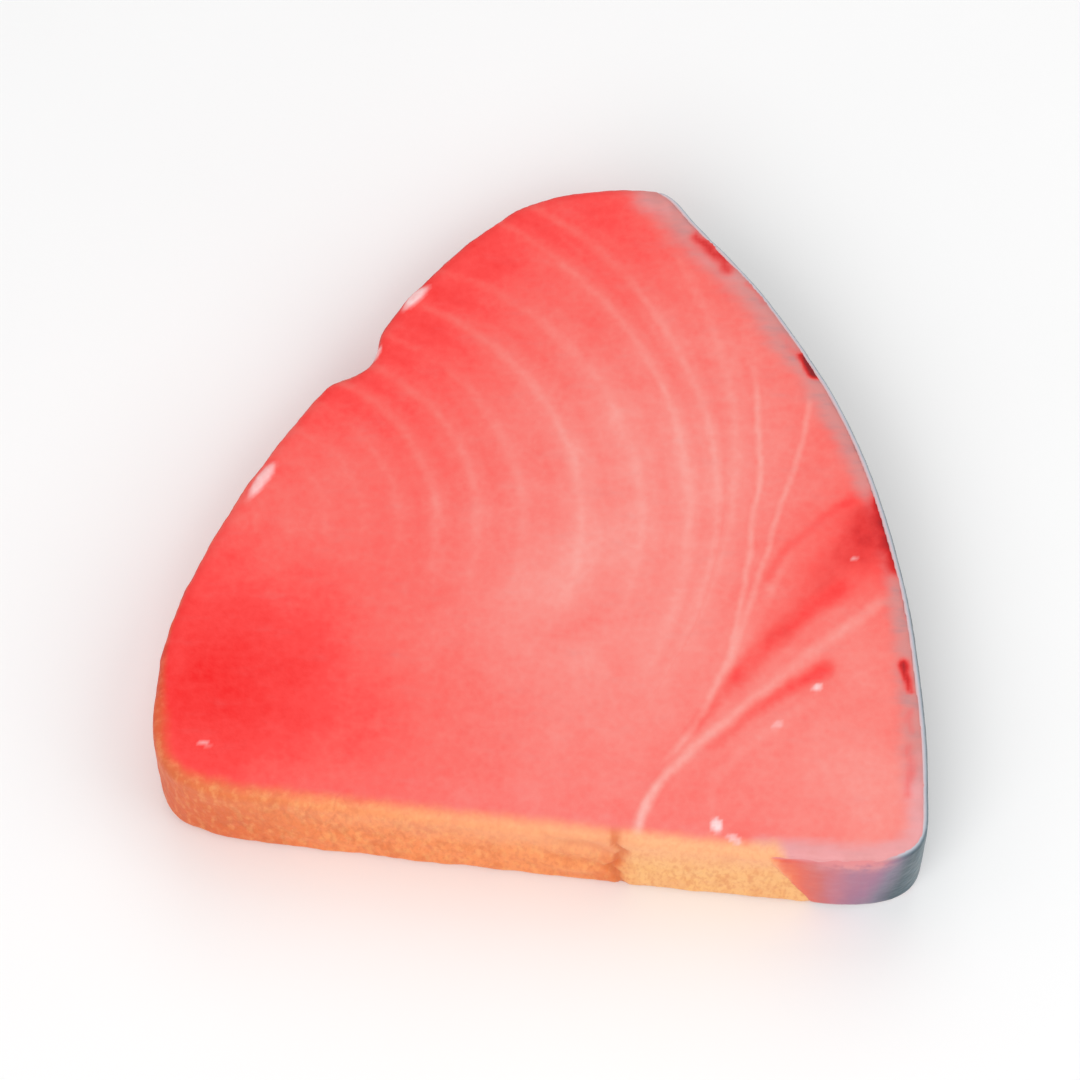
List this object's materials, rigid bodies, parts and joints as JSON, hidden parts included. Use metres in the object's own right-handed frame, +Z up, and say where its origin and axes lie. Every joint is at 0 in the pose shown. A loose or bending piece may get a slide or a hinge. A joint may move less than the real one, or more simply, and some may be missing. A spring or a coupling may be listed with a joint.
{
  "type": "raw tuna steak",
  "caption": "Thick raw tuna loin steak lying flat, a rounded triangle of pink-red muscle with a strip of dark skin along its curved side.",
  "frame": {"origin": "middle of the steak's footprint, on the surface that it lies on", "axes": "+Z up through the steak's thickness; +X across the steak towards its skin; +Y along the upper cut face towards the pointed end of the loin section"},
  "size_m": [0.1456, 0.1426, 0.024],
  "materials": {
    "flesh": "moist raw fish flesh, coral pink to red with pale connective lines and dark red blood areas; its cut sides are orange tan",
    "skin": "wet fish skin, mottled charcoal grey that turns blue-green towards the belly, silvery where it is cut"
  },
  "bodies": {
    "root": {"flesh": "flesh", "skin": "skin"}
  },
  "joints": []
}
